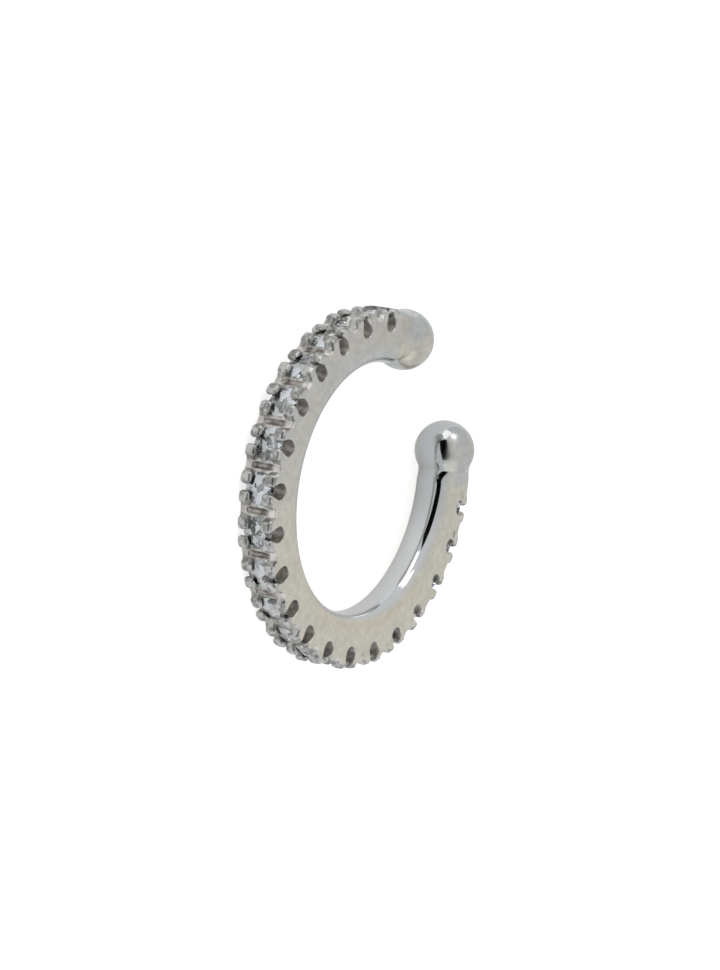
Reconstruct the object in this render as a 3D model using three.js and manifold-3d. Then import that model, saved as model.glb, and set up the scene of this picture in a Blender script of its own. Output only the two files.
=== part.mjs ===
// Ear cuff: an open ring of cast silver with a ball on each end and one row of round brilliants
// around its outer edge. Each stone sits over a U-shaped cut through both side walls, held by four
// prongs that are cut from the band. Millimetres, +Z up. The cuff lies on its side as it would by
// itself, on both balls and on the prongs opposite the opening. The ring's centre is over the
// origin, the opening faces +X, and z = 0 is the surface that it lies on.
import * as THREE from 'three';
import { ConvexGeometry } from 'three/addons/geometries/ConvexGeometry.js';
import { mergeVertices } from 'three/addons/utils/BufferGeometryUtils.js';
import Module from 'manifold-3d';

const wasm = await Module();
wasm.setup();

// Band
const innerRadius = 4.53;       // inside of the ring, where its rounded inner surface bulges most
const innerRounding = 0.83;     // depth of that rounded surface, up to where the flat sides start
const shankDepth = 1.15;        // solid metal between the inside and the bottom of the side cuts
const sideWall = 0.175;         // metal between a stone's edge and the flat side of the band
const edgeRounding = 0.12;      // outer edges of the band, prong tips included

// Opening and ball ends
const earGap = 3.3;             // clear distance between the balls
const ballDiameter = 2.24;

// Stones
const stoneDiameter = 1.15;
const stoneGap = 0.41;          // about what is left between neighbours; the row is spaced evenly
const bareEnd = 2.27;           // from a ball's centre to the nearest stone's centre, along the row
const stoneShares = { table: 0.57, crown: 0.145, girdle: 0.03, pavilion: 0.42, star: 0.5 };
const tableSides = 8;           // sides of a stone's flat top; its edge has twice as many

// Seats, cuts and prongs
const seatClearance = 0.03;     // all round a stone
const culetClearance = 0.04;    // under a stone's point
const cutWidth = 0.56;          // U-shaped cut through the band under each stone
const prongRise = 0.1;          // prong tips above the flat tops of the stones
const prongHeight = 0.28;       // free height of the prongs above the post that they share
const prongDepth = 0.44;        // a prong's size along the ring's axis, from the side of the band
const prongGrip = 0.06;         // how far a prong reaches over a stone's edge
const notchMouth = 0.22;        // V-shaped notch between two stones' prongs, at their tips
const notchFoot = 0.08;         // the same notch, at the post

// The row as one solid: a fine web joins the stones above the posts
const webWidth = 0.12;
const webClearance = 0.05;      // over the posts, and below the stones' flat tops

// Steps that round shapes are divided into
const ringSteps = 72;
const insideSteps = 8;
const cornerSteps = 1;
const cutSteps = 6;
const seatSteps = 12;
const ballSteps = 24;
const webStepsPerStone = 2;
const openingSteps = 2;

const margin = 1;               // how far a cutting shape runs past what it cuts

// Stone sizes, with a stone's height measured from its point
const stoneRadius = stoneDiameter / 2;
const girdleBottom = stoneDiameter * stoneShares.pavilion;
const girdleTop = girdleBottom + stoneDiameter * stoneShares.girdle;
const stoneHeight = girdleTop + stoneDiameter * stoneShares.crown;
const tableRadius = stoneRadius * stoneShares.table;

// Radii of the ring, from the inside out
const cutBottomRadius = innerRadius + shankDepth;
const culetRadius = cutBottomRadius + culetClearance;
const rowRadius = culetRadius + (girdleBottom + girdleTop) / 2;
const tableTopRadius = culetRadius + stoneHeight;
const tipRadius = tableTopRadius + prongRise;
const postRadius = tipRadius - prongHeight;

const bandWidth = stoneDiameter + 2 * sideWall;
const ballRadius = ballDiameter / 2;
const ballCentreRadius = innerRadius + ballRadius;
const ballAngle = Math.asin((earGap + ballDiameter) / 2 / ballCentreRadius);

// The row starts and ends at the same distance from the balls, and its stones are spaced evenly
const firstStoneAngle = ballAngle + bareEnd / rowRadius;
const rowAngle = 2 * (Math.PI - firstStoneAngle);
const stoneCount = 1 + Math.round((rowAngle * rowRadius) / (stoneDiameter + stoneGap));
const pitchAngle = rowAngle / (stoneCount - 1);
const stoneAngles = Array.from({ length: stoneCount }, (_, i) => firstStoneAngle + i * pitchAngle);
const notchAngles = stoneAngles.slice(1).map((angle) => angle - pitchAngle / 2);

// Joins and cuts
function solidOf(geometry) {
  const bare = geometry.clone();
  bare.deleteAttribute('normal');
  bare.deleteAttribute('uv');
  const merged = mergeVertices(bare, 1e-5);
  return new wasm.Manifold(new wasm.Mesh({
    numProp: 3,
    vertProperties: new Float32Array(merged.attributes.position.array),
    triVerts: new Uint32Array(merged.index.array),
  }));
}

function geometryOf(solid) {
  const mesh = solid.getMesh();
  const geometry = new THREE.BufferGeometry();
  geometry.setAttribute('position', new THREE.BufferAttribute(mesh.vertProperties, 3));
  geometry.setIndex(new THREE.BufferAttribute(mesh.triVerts, 1));
  geometry.computeVertexNormals();
  return geometry;
}

const joined = (solids) => solids.reduce((whole, next) => whole.add(next));
const cut = (whole, tools) => tools.reduce((rest, tool) => rest.subtract(tool), whole);

// A profile of (radius, height) points turned about +Z
function turned(points, steps) {
  return new THREE.LatheGeometry(points, steps).rotateX(Math.PI / 2);
}

// Puts a shape whose +Z points away from the ring's centre on the ring, with its x along the row
// and its y along the ring's axis
function placed(geometry, angle, radius) {
  const outward = new THREE.Vector3(Math.cos(angle), Math.sin(angle), 0);
  const forward = new THREE.Vector3(-Math.sin(angle), Math.cos(angle), 0);
  const place = new THREE.Matrix4().makeBasis(forward, new THREE.Vector3(0, 0, 1), outward);
  place.setPosition(outward.multiplyScalar(radius));
  return geometry.clone().applyMatrix4(place);
}

// A stretch of a flat ring between two angles
function sector(fromRadius, toRadius, fromAngle, toAngle, height, steps) {
  const outline = new THREE.Shape();
  outline.absarc(0, 0, toRadius, fromAngle, toAngle, false);
  outline.absarc(0, 0, fromRadius, toAngle, fromAngle, true);
  const plate = new THREE.ExtrudeGeometry(outline, {
    depth: height,
    bevelEnabled: false,
    curveSegments: steps,
  });
  return plate.translate(0, 0, -height / 2);
}

// An outline drawn across the row, with x along it and y outwards, run through the whole band
function acrossBand(outline) {
  const length = bandWidth + 2 * margin;
  const plate = new THREE.ExtrudeGeometry(outline, {
    depth: length,
    bevelEnabled: false,
    curveSegments: cutSteps,
  });
  return plate.translate(0, 0, -length / 2).rotateX(Math.PI / 2);
}

// The band's full section: rounded on the inside, flat sides, small roundings outside
function bandSection() {
  const flatStart = innerRadius + innerRounding;
  const half = bandWidth / 2;
  const inside = new THREE.Path();
  inside.absellipse(flatStart, 0, innerRounding, half, Math.PI / 2, 1.5 * Math.PI, false);
  const corner = (side, fromAngle) => {
    const rounding = new THREE.Path();
    const centre = [tipRadius - edgeRounding, side * (half - edgeRounding)];
    rounding.absarc(...centre, edgeRounding, fromAngle, fromAngle + Math.PI / 2, false);
    return rounding.getPoints(cornerSteps);
  };
  const points = [...inside.getPoints(insideSteps), ...corner(-1, -Math.PI / 2), ...corner(1, 0)];
  return [...points, points[0].clone()];
}

// The open seat of a stone: room for it and a clearance up to just over its edge, and above that a
// bore that the prongs stand around
function seat() {
  const pavilion = Math.atan2(girdleBottom, stoneRadius);
  const crown = Math.atan2(stoneHeight - girdleTop, stoneRadius - tableRadius);
  const room = stoneRadius + seatClearance;
  const bore = stoneRadius - prongGrip;
  const under = seatClearance / Math.cos(pavilion);
  const over = seatClearance / Math.cos(crown);
  const top = stoneHeight + prongRise + margin;
  return turned([
    new THREE.Vector2(0, -under),
    new THREE.Vector2(room, room * Math.tan(pavilion) - under),
    new THREE.Vector2(room, girdleTop + over - seatClearance * Math.tan(crown)),
    new THREE.Vector2(bore, girdleTop + over + prongGrip * Math.tan(crown)),
    new THREE.Vector2(bore, top),
    new THREE.Vector2(0, top),
  ], seatSteps);
}

// The U-shaped cut under a stone
function sideCut() {
  const outline = new THREE.Shape();
  const top = tipRadius + margin - cutBottomRadius;
  outline.moveTo(cutWidth / 2, top);
  outline.lineTo(-cutWidth / 2, top);
  outline.absarc(0, cutWidth / 2, cutWidth / 2, Math.PI, 2 * Math.PI, false);
  outline.closePath();
  return acrossBand(outline);
}

// The notch between the prongs of two stones, which keeps its slope above their tips
function prongNotch() {
  const outline = new THREE.Shape();
  const top = prongHeight + margin;
  const mouth = notchFoot + ((notchMouth - notchFoot) * top) / prongHeight;
  outline.moveTo(-notchFoot / 2, 0);
  outline.lineTo(notchFoot / 2, 0);
  outline.lineTo(mouth / 2, top);
  outline.lineTo(-mouth / 2, top);
  outline.closePath();
  return acrossBand(outline);
}

function ball(side) {
  const shape = new THREE.SphereGeometry(ballRadius, ballSteps, ballSteps / 2);
  return solidOf(placed(shape, side * ballAngle, ballCentreRadius));
}

// The channel that separates the two sides' prongs and ends at the outer edges of the end stones
function prongChannel() {
  const start = firstStoneAngle - (stoneRadius + seatClearance) / rowRadius;
  const width = bandWidth - 2 * prongDepth;
  return sector(postRadius, tipRadius + margin, start, 2 * Math.PI - start, width, ringSteps);
}

// The opening of the ring, from one ball's centre to the other's
function ringOpening() {
  const height = bandWidth + 2 * margin;
  return sector(innerRadius - margin, tipRadius + margin, -ballAngle, ballAngle, height, openingSteps);
}

// Band, balls and prongs are cast as one piece of metal
function cuffBand() {
  const tools = [
    solidOf(ringOpening()),
    solidOf(prongChannel()),
    ...stoneAngles.map((angle) => solidOf(placed(sideCut(), angle, cutBottomRadius))),
    ...stoneAngles.map((angle) => solidOf(placed(seat(), angle, culetRadius))),
    ...notchAngles.map((angle) => solidOf(placed(prongNotch(), angle, postRadius))),
  ];
  const band = cut(solidOf(turned(bandSection(), ringSteps)), tools);
  return geometryOf(joined([band, ball(-1), ball(1)]));
}

// A round brilliant with its point at the origin: star, kite and girdle facets around its flat top,
// and sixteen facets that meet in its point
function brilliant() {
  const points = [new THREE.Vector3(0, 0, 0)];
  const halfStep = Math.PI / tableSides;
  const ring = (count, radius, height, turn) => {
    for (let i = 0; i < count; i += 1) {
      const angle = turn + (i * 2 * Math.PI) / count;
      points.push(new THREE.Vector3(radius * Math.cos(angle), radius * Math.sin(angle), height));
    }
  };
  const crownSlope = (stoneHeight - girdleTop) / (stoneRadius - tableRadius);
  const tableEdge = tableRadius * Math.cos(halfStep);
  const kiteRadius = tableEdge + stoneShares.star * (stoneRadius - tableEdge);
  const kiteHeight = girdleTop + crownSlope * (stoneRadius - kiteRadius * Math.cos(halfStep));
  ring(tableSides, tableRadius, stoneHeight, 0);
  ring(tableSides, kiteRadius, kiteHeight, halfStep);
  ring(2 * tableSides, stoneRadius, girdleTop, 0);
  ring(2 * tableSides, stoneRadius, girdleBottom, 0);
  return new ConvexGeometry(points);
}

// The stones of the row, joined by a fine web
function stoneRow() {
  const shape = brilliant();
  const stones = stoneAngles.map((angle) => solidOf(placed(shape, angle, culetRadius)));
  const web = sector(
    postRadius + webClearance,
    tableTopRadius - webClearance,
    firstStoneAngle,
    2 * Math.PI - firstStoneAngle,
    webWidth,
    webStepsPerStone * (stoneCount - 1),
  );
  return geometryOf(joined([solidOf(web), ...stones]));
}

function named(name, geometry, material) {
  const mesh = new THREE.Mesh(geometry, material);
  mesh.name = name;
  return mesh;
}

const silver = new THREE.MeshStandardMaterial({ color: 0xd6d5d1, metalness: 1, roughness: 0.16 });
const crystal = new THREE.MeshStandardMaterial({ color: 0xe4e9ee, metalness: 0, roughness: 0.03 });

// Lying on its side the cuff leans a little, because the balls are wider than the band: it touches
// the surface with both balls and with the prongs opposite the opening
const ballReach = ballCentreRadius * Math.cos(ballAngle);
const footReach = ballReach + tipRadius - edgeRounding;
const restLean = Math.asin(ballRadius / Math.hypot(footReach, bandWidth / 2))
  - Math.atan2(bandWidth / 2, footReach);

const cuff = new THREE.Group();
cuff.add(named('cuff_band', cuffBand(), silver), named('stone_row', stoneRow(), crystal));
cuff.rotation.y = -restLean;
cuff.position.z = ballRadius - ballReach * Math.sin(restLean);

export default cuff;
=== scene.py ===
"""Looks of the ear cuff: a fine silver band, nineteen cut stones, their finishes, and a plain studio.

The metal and the stones are modelled in millimetres around the ring's own axis, with the opening
towards +X, and then laid down on the floor in metres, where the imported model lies.
"""

from __future__ import annotations

import itertools
import logging
import math
import random
from collections.abc import Callable
from dataclasses import dataclass, field
from enum import Enum

import bpy
from mathutils import Euler, Matrix, Vector


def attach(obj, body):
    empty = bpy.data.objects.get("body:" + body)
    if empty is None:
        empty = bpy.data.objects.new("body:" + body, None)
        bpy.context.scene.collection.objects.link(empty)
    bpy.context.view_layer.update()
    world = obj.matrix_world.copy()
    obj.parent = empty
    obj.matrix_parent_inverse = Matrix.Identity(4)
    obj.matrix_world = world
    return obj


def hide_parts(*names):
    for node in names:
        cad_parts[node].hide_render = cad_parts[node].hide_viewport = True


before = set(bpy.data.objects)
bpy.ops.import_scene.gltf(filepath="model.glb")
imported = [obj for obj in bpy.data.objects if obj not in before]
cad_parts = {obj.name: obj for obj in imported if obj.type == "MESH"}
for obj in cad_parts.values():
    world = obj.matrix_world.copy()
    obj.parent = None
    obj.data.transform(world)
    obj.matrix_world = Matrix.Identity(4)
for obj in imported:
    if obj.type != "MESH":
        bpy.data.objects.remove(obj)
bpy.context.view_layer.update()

log = logging.getLogger("ear_cuff")

Piece = bpy.types.Object
Triple = tuple[float, float, float]

MM = 0.001
NEAR = 1e-4


class Side(Enum):
    """The two ends of the open ring, by the sign of their angle from the opening."""

    LEFT = 1
    RIGHT = -1


class Join(Enum):
    """What a cutting tool does to the metal."""

    CUT = "DIFFERENCE"
    WELD = "UNION"


@dataclass(frozen=True)
class CuffSizes:
    """Driving sizes of the cuff in millimetres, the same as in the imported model."""

    inner_radius: float = 4.53
    inner_rounding: float = 0.83
    shank_depth: float = 1.15
    side_wall: float = 0.175
    edge_rounding: float = 0.12
    ear_gap: float = 3.3
    ball_diameter: float = 2.24
    stone_diameter: float = 1.15
    stone_gap: float = 0.41
    bare_end: float = 2.27
    table_share: float = 0.57
    crown_share: float = 0.145
    girdle_share: float = 0.03
    pavilion_share: float = 0.42
    culet_clearance: float = 0.04
    cut_width: float = 0.56
    prong_rise: float = 0.1
    prong_height: float = 0.28

    @property
    def half_width(self) -> float:
        """Half of the band's width along the ring's axis."""
        return self.stone_diameter / 2 + self.side_wall

    @property
    def flat_start(self) -> float:
        """Radius where the rounded inside turns into the flat sides."""
        return self.inner_radius + self.inner_rounding

    @property
    def cut_bottom(self) -> float:
        """Radius of the bottom of the side cuts."""
        return self.inner_radius + self.shank_depth

    @property
    def culet(self) -> float:
        """Radius of the stones' points."""
        return self.cut_bottom + self.culet_clearance

    @property
    def girdle(self) -> float:
        """Radius of the middle of the stones' edges."""
        return self.culet + self.stone_diameter * (self.pavilion_share + self.girdle_share / 2)

    @property
    def table(self) -> float:
        """Radius of the stones' flat tops."""
        shares = self.pavilion_share + self.girdle_share + self.crown_share
        return self.culet + self.stone_diameter * shares

    @property
    def tip(self) -> float:
        """Radius of the prongs' tips."""
        return self.table + self.prong_rise

    @property
    def post(self) -> float:
        """Radius of the posts that each carry four prongs."""
        return self.tip - self.prong_height

    @property
    def ball_radius(self) -> float:
        """Radius of a ball end."""
        return self.ball_diameter / 2

    @property
    def ball_centre(self) -> float:
        """Distance from the ring's centre to a ball's centre."""
        return self.inner_radius + self.ball_radius

    @property
    def ball_angle(self) -> float:
        """Angle from the middle of the opening to a ball's centre."""
        return math.asin((self.ear_gap + self.ball_diameter) / 2 / self.ball_centre)

    @property
    def first_stone(self) -> float:
        """Angle of the first stone."""
        return self.ball_angle + self.bare_end / self.girdle

    @property
    def stone_count(self) -> int:
        """Number of stones in the row."""
        length = 2 * (math.pi - self.first_stone) * self.girdle
        return 1 + round(length / (self.stone_diameter + self.stone_gap))

    @property
    def pitch(self) -> float:
        """Angle from one stone to the next."""
        return 2 * (math.pi - self.first_stone) / (self.stone_count - 1)

    @property
    def stone_angles(self) -> list[float]:
        """Angle of each stone."""
        return [self.first_stone + i * self.pitch for i in range(self.stone_count)]

    @property
    def lean(self) -> float:
        """Angle by which the cuff leans, because its balls are wider than its band."""
        reach = self.ball_centre * math.cos(self.ball_angle)
        foot = reach + self.tip - self.edge_rounding
        return math.asin(self.ball_radius / math.hypot(foot, self.half_width)) - math.atan2(
            self.half_width, foot
        )

    @property
    def rest_height(self) -> float:
        """Height of the ring's centre above the floor."""
        reach = self.ball_centre * math.cos(self.ball_angle)
        return self.ball_radius - reach * math.sin(self.lean)

    @property
    def resting_place(self) -> Matrix:
        """Turns the ring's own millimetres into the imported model's millimetres."""
        lift = Matrix.Translation((0, 0, self.rest_height))
        return lift @ Matrix.Rotation(-self.lean, 4, "Y")


SIZES = CuffSizes()


class Bench:
    """The few hand operations that every piece is made with."""

    @staticmethod
    def clear() -> None:
        """Leaves edit mode and deselects every object."""
        if bpy.context.object and bpy.context.object.mode != "OBJECT":
            bpy.ops.object.mode_set(mode="OBJECT")
        bpy.ops.object.select_all(action="DESELECT")

    @staticmethod
    def take(piece: Piece) -> None:
        """Makes a piece the only selected and active one."""
        Bench.clear()
        piece.select_set(True)
        bpy.context.view_layer.objects.active = piece

    @staticmethod
    def settle(piece: Piece) -> None:
        """Moves a piece's place, turn and scale into its mesh."""
        Bench.take(piece)
        bpy.ops.object.transform_apply(location=True, rotation=True, scale=True)

    @staticmethod
    def added() -> Piece:
        """Settles the piece that was just added and returns it."""
        piece = bpy.context.object
        Bench.settle(piece)
        return piece

    @staticmethod
    def place(piece: Piece, matrix: Matrix) -> None:
        """Moves a piece by a matrix and keeps its new place in its mesh.

        Args:
            piece: The piece to move.
            matrix: The move, turn and scale to give it.
        """
        piece.matrix_world = matrix @ piece.matrix_world
        Bench.settle(piece)

    @staticmethod
    def pick(kind: str, test: Callable[[Vector], bool], boundary: bool = False) -> None:
        """Selects a piece's faces, edges or vertices by their place, in edit mode.

        Args:
            kind: FACE, EDGE or VERT.
            test: Says of a middle point whether its element is picked.
            boundary: Whether an edge must also have a single face.
        """
        bpy.ops.mesh.select_mode(type=kind)
        bpy.ops.mesh.select_all(action="DESELECT")
        if boundary:
            bpy.ops.mesh.select_non_manifold(extend=False, use_wire=False, use_multi_face=False,
                                             use_non_contiguous=False, use_verts=False)
        bpy.ops.object.mode_set(mode="OBJECT")
        mesh = bpy.context.object.data
        points = [v.co for v in mesh.vertices]
        if kind == "VERT":
            for vertex in mesh.vertices:
                vertex.select = test(vertex.co)
        elif kind == "EDGE":
            for edge in mesh.edges:
                middle = (points[edge.vertices[0]] + points[edge.vertices[1]]) / 2
                edge.select = test(middle) and (edge.select or not boundary)
        else:
            for face in mesh.polygons:
                face.select = test(face.center)
        if boundary:
            Bench.keep_edges_only(mesh)
        bpy.ops.object.mode_set(mode="EDIT")

    @staticmethod
    def keep_edges_only(mesh: bpy.types.Mesh) -> None:
        """Makes the vertex selection follow the edge selection."""
        kept = {v for e in mesh.edges if e.select for v in e.vertices}
        for vertex in mesh.vertices:
            vertex.select = vertex.index in kept

    @staticmethod
    def edit(piece: Piece) -> None:
        """Takes a piece into edit mode with everything selected."""
        Bench.take(piece)
        bpy.ops.object.mode_set(mode="EDIT")
        bpy.ops.mesh.select_all(action="SELECT")

    @staticmethod
    def face_out() -> None:
        """Turns every face of the edited piece outwards and leaves edit mode."""
        bpy.ops.mesh.select_all(action="SELECT")
        bpy.ops.mesh.normals_make_consistent(inside=False)
        bpy.ops.object.mode_set(mode="OBJECT")

    @staticmethod
    def cut_off(point: Vector | Triple, normal: Vector | Triple, fill: bool = False) -> None:
        """Cuts off what lies beyond a plane from everything that is selected.

        Args:
            point: A point of the plane.
            normal: The direction of what goes.
            fill: Whether the cut is closed with a face.
        """
        bpy.ops.mesh.bisect(
            plane_co=point, plane_no=normal, clear_outer=True, use_fill=fill, threshold=1e-5
        )

    @staticmethod
    def draw_out(start: float, end: float, across: int) -> None:
        """Turns the edited disc into a U: cuts it in half and draws the cut side out along +X.

        Args:
            start: Where the disc's middle lies on X.
            end: Where the open end of the U lies on X.
            across: The number of the axis along the cut.
        """
        def on_cut(p: Vector) -> bool:
            """Whether the middle of an edge is that of the cut."""
            return abs(p.x - start) < NEAR and abs(p[across]) < 10 * NEAR

        Bench.cut_off((start, 0, 0), (1, 0, 0))
        Bench.pick("EDGE", on_cut)
        Bench.extrude(Vector((end - start, 0, 0)))
        Bench.pick("EDGE", on_cut)
        bpy.ops.mesh.dissolve_edges(use_verts=False)

    @staticmethod
    def extrude(move: Vector) -> None:
        """Extrudes what is selected by a straight move."""
        bpy.ops.mesh.extrude_region_move(TRANSFORM_OT_translate={"value": tuple(move)})

    @staticmethod
    def copy(piece: Piece, name: str, matrix: Matrix) -> Piece:
        """Copies a piece with a mesh of its own.

        Args:
            piece: The model piece.
            name: The copy's name.
            matrix: Where the copy goes.

        Returns:
            The copy, with its place in its mesh.
        """
        Bench.take(piece)
        bpy.ops.object.duplicate(linked=False)
        made = bpy.context.object
        made.name = made.data.name = name
        Bench.place(made, matrix)
        return made

    @staticmethod
    def gather(pieces: list[Piece], name: str) -> Piece:
        """Joins several pieces in one object.

        Args:
            pieces: The pieces, which don't touch.
            name: The name of the whole.

        Returns:
            The object that holds them all.
        """
        Bench.clear()
        for piece in pieces:
            piece.select_set(True)
        bpy.context.view_layer.objects.active = pieces[0]
        bpy.ops.object.join()
        pieces[0].name = pieces[0].data.name = name
        return pieces[0]

    @staticmethod
    def combine(piece: Piece, tool: Piece, how: Join) -> None:
        """Cuts or welds a tool into a piece, and removes the tool.

        Args:
            piece: The piece that stays.
            tool: The closed shape that is cut away or welded on.
            how: Whether it is cut away or welded on.
        """
        Bench.apply(piece, "BOOLEAN", object=tool, operation=how.value, solver="EXACT")
        bpy.data.objects.remove(tool)

    @staticmethod
    def apply(piece: Piece, kind: str, **settings: object) -> None:
        """Adds a modifier and applies it.

        Args:
            piece: The piece to change.
            kind: The modifier's type.
            **settings: The modifier's settings.
        """
        Bench.take(piece)
        modifier = piece.modifiers.new(kind.lower(), kind)
        for key, value in settings.items():
            setattr(modifier, key, value)
        bpy.ops.object.modifier_apply(modifier=modifier.name)

    @staticmethod
    def around(angle: float, radius: float = 0.0) -> Matrix:
        """The move from the +X side of the ring to another angle, after a step outwards."""
        return Matrix.Rotation(angle, 4, "Z") @ Matrix.Translation((radius, 0, 0))


@dataclass
class SilverBand:
    """The cast band with its ball ends, side cuts, seats and prongs.

    Attributes:
        sizes: The cuff's driving sizes.
        inside_edges: Edges around the rounded inside of the section.
        inside_fullness: How full the rounded inside is; 2 is an ellipse.
        side_cuts: Extra points along each flat side of the section.
        outer_cuts: Extra points across the outside of the section.
        corner_segments: Edges on each outer rounding of the section.
        ring_step: Angle between two sections, in degrees.
        neck_start: Distance from a ball's centre to the band's end.
        rim_offset: Distance from a ball's centre to the rim where its neck starts.
        neck_cuts: Loops of points along the neck.
        neck_swell: How strongly the neck follows the directions of band and ball.
        seat_clearance: Room between a stone and its seat.
        bore_inset: How far the metal at the row's ends reaches over the end stones.
        block_margin: How far the full-height ends of the band stay behind the first cuts.
        tooth_length: A prong's size along the row.
        tooth_width: A prong's size across the row.
        tooth_rounding: Rounding of a prong's edges.
        end_rounding: Rounding of the outer edges at the two full-height ends.
        post_rounding: Rounding of the posts' outer edges.
        tooth_notch: Gap between the two prongs that share a post.
        groove_radius: Radius of the groove across each post.
        groove_depth: How far the groove's bottom lies below the post's top.
        groove_length: Length of the groove across the row.
        tooth_foot: How deep a prong is rooted below the post.
        tooth_lean: How far a prong's tip leans towards the middle of the row.
        tooth_fold: How far a prong's tip folds along the row over its stone.
        tooth_inset: How far a prong stays inside the flat side.
        tooth_turn: The most that a prong is turned about each axis.
        tooth_drop: The most that a prong is lower than its neighbours.
        tooth_lift: The most that a prong is higher than its neighbours.
        tooth_spare: Width of the outer part that is cut off a prong to make its side flat.
        cut_rounding: Rounding of the side cuts' edges.
        cut_steps: Edges on that rounding.
        cut_overshoot: How far the cutting tools stand out from the flat sides.
        round_sides: Sides of the round cutting tools.
        step_turn: Angle over which the band drops to the posts.
    """

    sizes: CuffSizes = SIZES
    inside_edges: int = 32
    inside_fullness: float = 2.6
    side_cuts: int = 7
    outer_cuts: int = 7
    corner_segments: int = 6
    ring_step: float = 1.5
    neck_start: float = 1.2
    rim_offset: float = 0.46
    neck_cuts: int = 9
    neck_swell: float = 0.85
    seat_clearance: float = 0.008
    bore_inset: float = 0.07
    block_margin: float = 0.02
    tooth_length: float = 0.46
    tooth_width: float = 0.38
    tooth_rounding: float = 0.15
    end_rounding: float = 0.34
    post_rounding: float = 0.06
    tooth_notch: float = 0.07
    groove_radius: float = 0.11
    groove_depth: float = 0.07
    groove_length: float = 0.95
    tooth_foot: float = 0.3
    tooth_lean: float = 0.1
    tooth_fold: float = 0.2
    tooth_inset: float = 0.003
    tooth_turn: float = 0.05
    tooth_drop: float = 0.04
    tooth_lift: float = 0.02
    tooth_spare: float = 0.07
    cut_rounding: float = 0.045
    cut_steps: int = 4
    cut_overshoot: float = 0.004
    round_sides: int = 48
    step_turn: float = 0.003
    loop: int = field(init=False, default=0)

    @property
    def neck_angle(self) -> float:
        """Angle from the middle of the opening to the end of the plain band."""
        return self.sizes.ball_angle + self.neck_start / self.sizes.ball_centre

    @property
    def block_end(self) -> float:
        """Angle where the full-height end of the band drops to the posts."""
        s = self.sizes
        return s.first_stone - (s.cut_width / 2 + self.block_margin) / s.girdle

    def build(self) -> Piece:
        """Models the whole metal piece in the ring's own millimetres.

        Returns:
            The band, as one closed mesh.
        """
        band = self.swept_band()
        for side in Side:
            self.add_ball(band, side)
        angles = self.sizes.stone_angles
        posts = [angle + self.sizes.pitch / 2 for angle in angles[:-1]]
        Bench.combine(band, self.row_of(self.side_cutter(), "side_cutters", angles), Join.CUT)
        Bench.combine(band, self.prongs(), Join.WELD)
        Bench.combine(band, self.row_of(self.seat_cutter(), "seat_cutters", angles), Join.CUT)
        Bench.combine(band, self.row_of(self.end_bore(), "end_bores", angles[::len(angles) - 1]),
                      Join.CUT)
        Bench.combine(band, self.row_of(self.groove(), "grooves", posts), Join.CUT)
        self.finish_surface(band)
        return band

    def section(self) -> Piece:
        """Draws the band's section at azimuth zero: rounded inside, flat sides, rounded corners.

        Returns:
            A mesh of one face in the XZ plane.
        """
        s = self.sizes
        Bench.clear()
        bpy.ops.mesh.primitive_circle_add(
            vertices=2 * self.inside_edges, radius=s.half_width, fill_type="NGON",
            location=(s.flat_start, 0, 0), rotation=(math.pi / 2, 0, 0),
        )
        piece = Bench.added()
        for vertex in piece.data.vertices:
            vertex.co.x = s.flat_start + self.fuller(vertex.co.x - s.flat_start)
            vertex.co.z = self.fuller(vertex.co.z)
        Bench.edit(piece)
        bpy.ops.transform.resize(
            value=(s.inner_rounding / s.half_width, 1, 1), center_override=(s.flat_start, 0, 0)
        )
        Bench.draw_out(s.flat_start, s.tip, 2)
        Bench.pick("VERT", lambda p: p.x > s.tip - 10 * NEAR)
        bpy.ops.mesh.bevel(
            affect="VERTICES", offset=self.end_rounding, segments=self.corner_segments, profile=0.5
        )
        Bench.pick("EDGE", lambda p: s.flat_start < p.x < s.tip - 10 * NEAR
                   and abs(p.z) > s.half_width - NEAR)
        bpy.ops.mesh.subdivide(number_cuts=self.side_cuts)
        Bench.pick("EDGE", lambda p: p.x > s.tip - 10 * NEAR and abs(p.z) < 10 * NEAR)
        bpy.ops.mesh.subdivide(number_cuts=self.outer_cuts)
        bpy.ops.mesh.select_mode(type="FACE")
        bpy.ops.mesh.select_all(action="SELECT")
        bpy.ops.mesh.dissolve_faces(use_verts=False)
        bpy.ops.object.mode_set(mode="OBJECT")
        self.loop = len(piece.data.vertices)
        return piece

    def fuller(self, reach: float) -> float:
        """Moves a point of the section's circle outwards, so that the inside is fuller."""
        share = abs(reach) / self.sizes.half_width
        return math.copysign(self.sizes.half_width * share ** (2 / self.inside_fullness), reach)

    def swept_band(self) -> Piece:
        """Spins the section around the ring, lower where the posts are.

        Returns:
            The plain band from neck to neck, without end faces.
        """
        s = self.sizes
        band = self.section()
        band.name = band.data.name = "silver_band"
        ends = [(v.co.x, v.co.z) for v in band.data.vertices]
        posts = [self.post_point(*point) for point in ends]
        Bench.place(band, Bench.around(self.neck_angle))
        Bench.edit(band)
        low = 2 * (math.pi - self.block_end)
        high = self.block_end - self.neck_angle - self.step_turn
        angle = self.spin_face(self.neck_angle, high)
        angle = self.spin_face(angle, self.step_turn)
        self.reshape_face(angle, ends, posts)
        angle = self.spin_face(angle, low)
        angle = self.spin_face(angle, self.step_turn)
        self.reshape_face(angle, posts, ends)
        self.spin_face(angle, high)
        limit = self.neck_angle + 10 * NEAR
        Bench.pick("FACE", lambda p: abs(math.atan2(p.y, p.x)) < limit)
        bpy.ops.mesh.delete(type="FACE")
        bpy.ops.object.mode_set(mode="OBJECT")
        return band

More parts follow.
